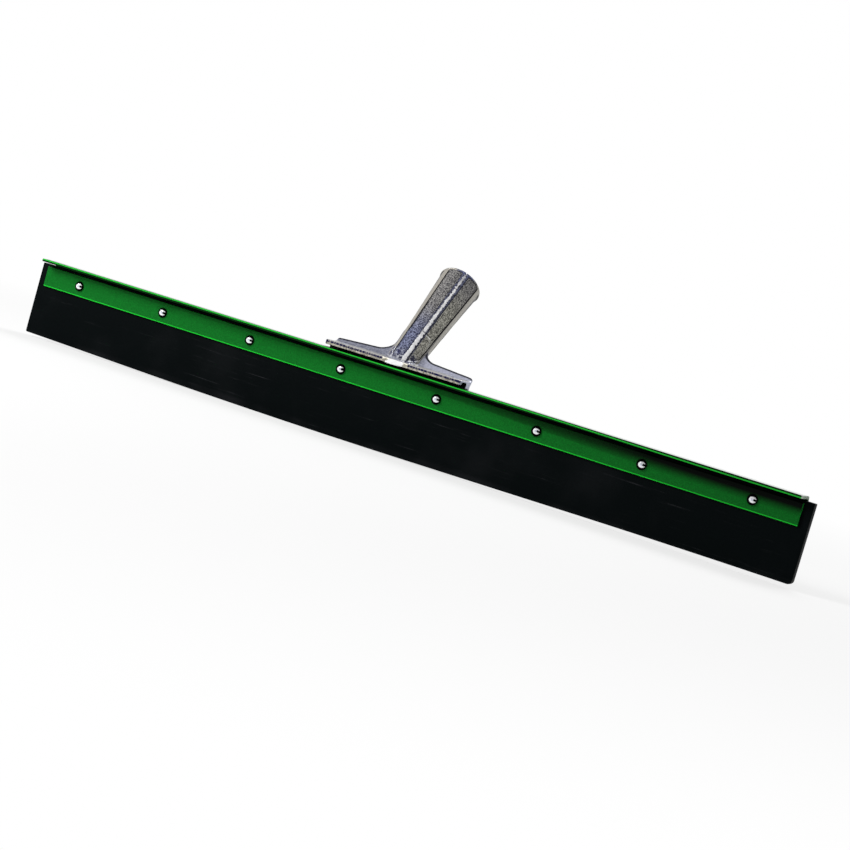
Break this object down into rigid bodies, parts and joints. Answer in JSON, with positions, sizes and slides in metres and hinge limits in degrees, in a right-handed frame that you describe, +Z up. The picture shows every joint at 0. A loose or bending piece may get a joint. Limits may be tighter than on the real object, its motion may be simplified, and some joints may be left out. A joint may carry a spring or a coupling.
{
  "type": "floor squeegee head",
  "caption": "Straight floor squeegee head: thick rubber blade riveted between a green steel angle and strip, with a ribbed cast aluminium socket for a tapered push handle.",
  "frame": {"origin": "middle of the blade's wiping edge", "axes": "+X along the blade; -Y the front, where the strip and the rivets' domed heads are; +Z up, away from the floor. The socket leans back towards +Y."},
  "size_m": [0.61, 0.0847, 0.1356],
  "materials": {
    "rubber": "matte",
    "green_paint": "satin",
    "rivet_metal": "satin",
    "cast_metal": "satin"
  },
  "bodies": {
    "root": {"rubber_blade": "rubber", "back_frame": "green_paint", "clamp_strip": "green_paint", "blade_rivets": "rivet_metal", "handle_socket": "cast_metal", "socket_rivets": "rivet_metal"}
  },
  "joints": []
}
